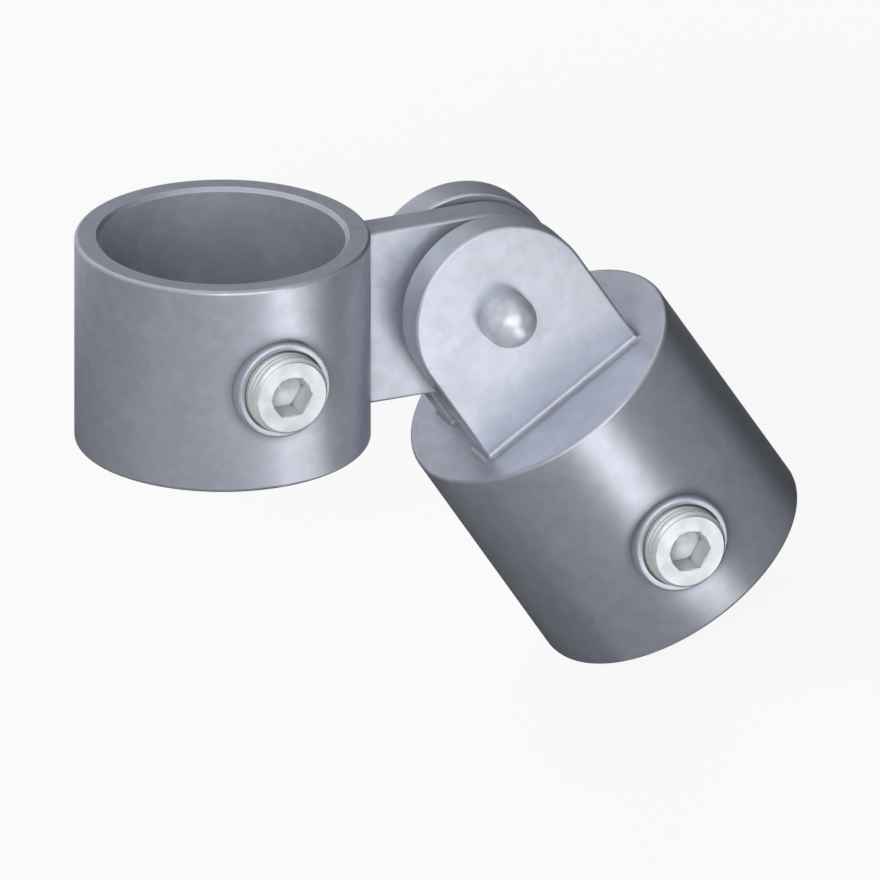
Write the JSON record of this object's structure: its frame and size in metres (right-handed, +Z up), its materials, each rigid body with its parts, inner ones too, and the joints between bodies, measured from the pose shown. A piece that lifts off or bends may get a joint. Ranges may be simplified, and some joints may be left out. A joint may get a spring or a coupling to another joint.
{
  "type": "swivel tube clamp",
  "caption": "Galvanised key clamp for tube: a ring collar and a blind socket joined by a riveted fork-and-tongue pivot, each with a hex-socket set screw",
  "frame": {"origin": "the middle of the ring collar's bore, on its axis", "axes": "+Z runs up along the collar's bore; +X runs from the collar to the pivot; the pivot turns about Y, and both set screws face -Y"},
  "size_m": [0.1535, 0.0654, 0.1031],
  "materials": {
    "collar_casting": "malleable iron casting, hot-dip galvanised",
    "socket_casting": "malleable iron casting, hot-dip galvanised",
    "rivet": "steel rivet, zinc coated, snap head",
    "set_screw": "hardened steel, bright zinc plated"
  },
  "bodies": {
    "collar": {"ring_collar": "collar_casting"},
    "socket": {"swivel_socket": "socket_casting", "pivot_rivet": "rivet"},
    "collar_screw": {"collar_set_screw": "set_screw"},
    "socket_screw": {"socket_set_screw": "set_screw"}
  },
  "joints": [
    {"name": "pivot", "type": "hinge", "parent": "collar", "child": "socket", "pos_m": [0.0564, 0, 0], "axis": [0, 1, 0], "range_deg": [-147, 33]},
    {"name": "collar_screw_travel", "type": "slide", "parent": "collar", "child": "collar_screw", "axis": [0, 1, 0], "range_m": [-0.006, 0.001]},
    {"name": "socket_screw_travel", "type": "slide", "parent": "socket", "child": "socket_screw", "axis": [0, 1, 0], "range_m": [-0.006, 0.001]}
  ]
}
